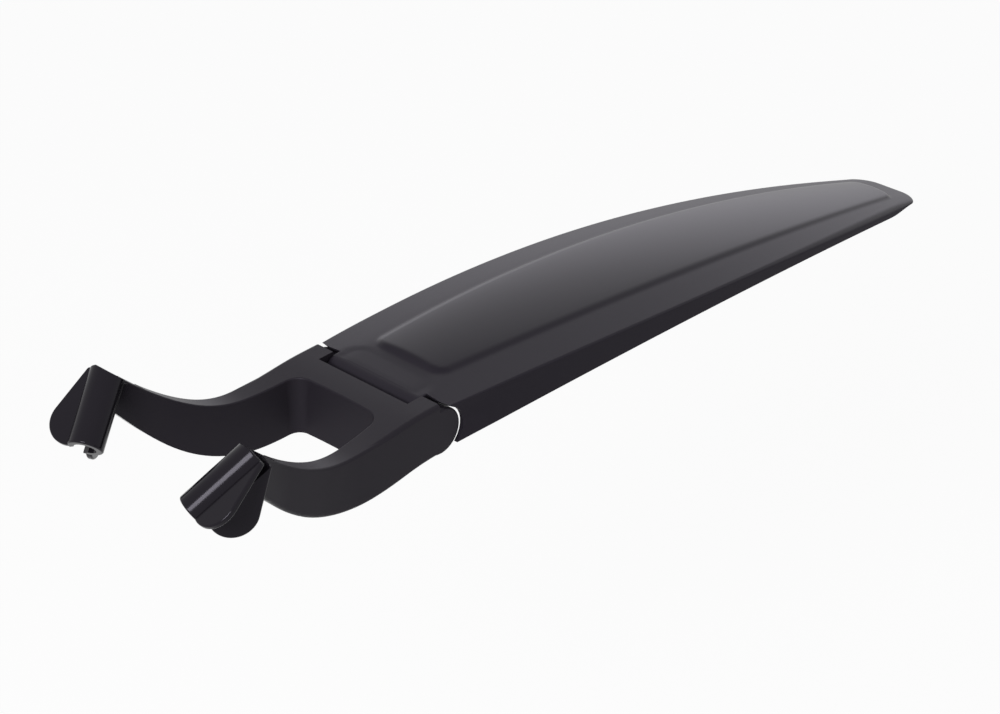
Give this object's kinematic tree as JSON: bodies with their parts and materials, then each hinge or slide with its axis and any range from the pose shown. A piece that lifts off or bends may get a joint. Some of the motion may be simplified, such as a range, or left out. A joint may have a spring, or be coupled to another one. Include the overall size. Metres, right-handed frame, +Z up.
{
  "type": "bicycle mudguard",
  "caption": "Clip-on rear mudguard: a long arched plastic blade with a raised middle panel, hinged to a forked bracket whose snap clips grip the saddle's rails.",
  "frame": {"origin": "midway between the middles of the two rail clips", "axes": "+X rearwards to the blade's tip, +Z up, +Y to the right of a rider who faces forwards"},
  "size_m": [0.4197, 0.0788, 0.0756],
  "materials": {
    "bracket_plastic": "satin moulded",
    "blade_plastic": "fine satin grain",
    "pin_steel": "plain"
  },
  "bodies": {
    "bracket": {"fork_bracket": "bracket_plastic", "hinge_pin": "pin_steel"},
    "guard": {"blade": "blade_plastic"}
  },
  "joints": [
    {"name": "blade_tilt", "type": "hinge", "parent": "bracket", "child": "guard", "pos_m": [0.0925, 0, -0.02625], "axis": [0, 1, 0], "range_deg": [-10, 40]}
  ]
}
